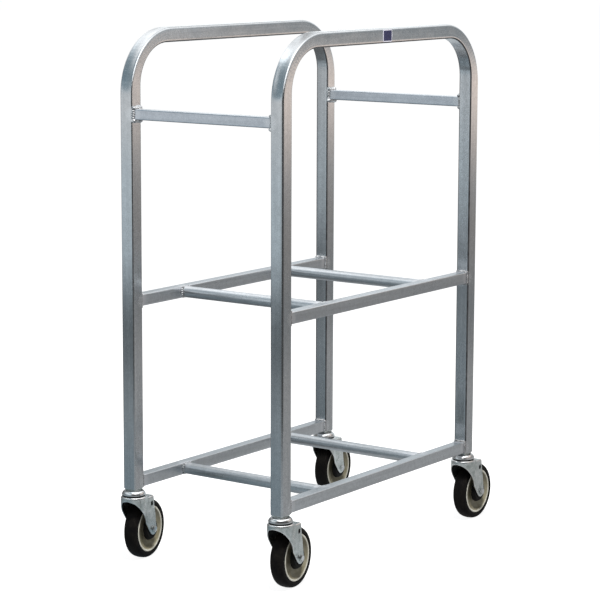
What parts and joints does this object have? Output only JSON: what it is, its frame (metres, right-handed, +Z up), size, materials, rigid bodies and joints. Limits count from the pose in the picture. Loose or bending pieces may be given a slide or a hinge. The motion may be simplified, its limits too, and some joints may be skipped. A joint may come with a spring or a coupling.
{
  "type": "lug cart",
  "caption": "Open aluminium lug cart: bent square-tube side loops joined by cross bars, rails and round rods, rolling on swivel casters.",
  "frame": {"origin": "middle of the cart's box, at floor level", "axes": "+X across the cart to its right side, +Y along the loops to the back, towards which the casters trail, +Z up"},
  "size_m": [0.4602, 0.8558, 1.15],
  "materials": {
    "frame_aluminium": "satin mill-finished aluminium tube with welded joints",
    "label": "plain navy label with a pale border, unprinted",
    "plated_steel": "bright zinc plating",
    "polished_steel": "polished pressed steel cup",
    "plain_steel": "ground steel tube",
    "black_seal": "black race seal",
    "black_plastic": "moulded black thread guard",
    "wheel_core": "off-white moulded core",
    "tyre": "black moulded tread with round shoulders"
  },
  "bodies": {
    "frame": {"left_loop": "frame_aluminium", "right_loop": "frame_aluminium", "front_top_bar": "frame_aluminium", "back_top_bar": "frame_aluminium", "left_mid_rail": "frame_aluminium", "right_mid_rail": "frame_aluminium", "left_low_rail": "frame_aluminium", "right_low_rail": "frame_aluminium", "front_mid_rod": "frame_aluminium", "back_mid_rod": "frame_aluminium", "front_low_rod": "frame_aluminium", "back_low_rod": "frame_aluminium", "label_plate": "label", "left_front_stem": "plated_steel", "left_front_top_cup": "polished_steel", "right_front_stem": "plated_steel", "right_front_top_cup": "polished_steel", "left_back_stem": "plated_steel", "left_back_top_cup": "polished_steel", "right_back_stem": "plated_steel", "right_back_top_cup": "polished_steel"},
    "left_front_swivel": {"left_front_race_ring": "black_seal", "left_front_fork": "plated_steel", "left_front_axle_bolt": "plated_steel", "left_front_axle_nut": "plated_steel", "left_front_axle_bushing": "plain_steel", "left_front_head_guard": "black_plastic", "left_front_nut_guard": "black_plastic"},
    "left_front_wheel": {"left_front_wheel_core": "wheel_core", "left_front_tyre": "tyre"},
    "right_front_swivel": {"right_front_race_ring": "black_seal", "right_front_fork": "plated_steel", "right_front_axle_bolt": "plated_steel", "right_front_axle_nut": "plated_steel", "right_front_axle_bushing": "plain_steel", "right_front_head_guard": "black_plastic", "right_front_nut_guard": "black_plastic"},
    "right_front_wheel": {"right_front_wheel_core": "wheel_core", "right_front_tyre": "tyre"},
    "left_back_swivel": {"left_back_race_ring": "black_seal", "left_back_fork": "plated_steel", "left_back_axle_bolt": "plated_steel", "left_back_axle_nut": "plated_steel", "left_back_axle_bushing": "plain_steel", "left_back_head_guard": "black_plastic", "left_back_nut_guard": "black_plastic"},
    "left_back_wheel": {"left_back_wheel_core": "wheel_core", "left_back_tyre": "tyre"},
    "right_back_swivel": {"right_back_race_ring": "black_seal", "right_back_fork": "plated_steel", "right_back_axle_bolt": "plated_steel", "right_back_axle_nut": "plated_steel", "right_back_axle_bushing": "plain_steel", "right_back_head_guard": "black_plastic", "right_back_nut_guard": "black_plastic"},
    "right_back_wheel": {"right_back_wheel_core": "wheel_core", "right_back_tyre": "tyre"}
  },
  "joints": [
    {"name": "left_front_caster_turn", "type": "hinge", "parent": "frame", "child": "left_front_swivel", "pos_m": [-0.19088, -0.3998, 0.14], "axis": [0, 0, 1], "continuous": true},
    {"name": "left_front_wheel_spin", "type": "hinge", "parent": "left_front_swivel", "child": "left_front_wheel", "pos_m": [-0.19709, -0.35775, 0.065], "axis": [0.9893, 0.1461, 0], "continuous": true},
    {"name": "right_front_caster_turn", "type": "hinge", "parent": "frame", "child": "right_front_swivel", "pos_m": [0.20112, -0.3998, 0.14], "axis": [0, 0, 1], "continuous": true},
    {"name": "right_front_wheel_spin", "type": "hinge", "parent": "right_front_swivel", "child": "right_front_wheel", "pos_m": [0.19705, -0.35749, 0.065], "axis": [0.9954, 0.0958, 0], "continuous": true},
    {"name": "left_back_caster_turn", "type": "hinge", "parent": "frame", "child": "left_back_swivel", "pos_m": [-0.19088, 0.3202, 0.14], "axis": [0, 0, 1], "continuous": true},
    {"name": "left_back_wheel_spin", "type": "hinge", "parent": "left_back_swivel", "child": "left_back_wheel", "pos_m": [-0.19348, 0.36262, 0.065], "axis": [0.9981, 0.061, 0], "continuous": true},
    {"name": "right_back_caster_turn", "type": "hinge", "parent": "frame", "child": "right_back_swivel", "pos_m": [0.20112, 0.3202, 0.14], "axis": [0, 0, 1], "continuous": true},
    {"name": "right_back_wheel_spin", "type": "hinge", "parent": "right_back_swivel", "child": "right_back_wheel", "pos_m": [0.20075, 0.3627, 0.065], "axis": [1, 0.0087, 0], "continuous": true}
  ]
}
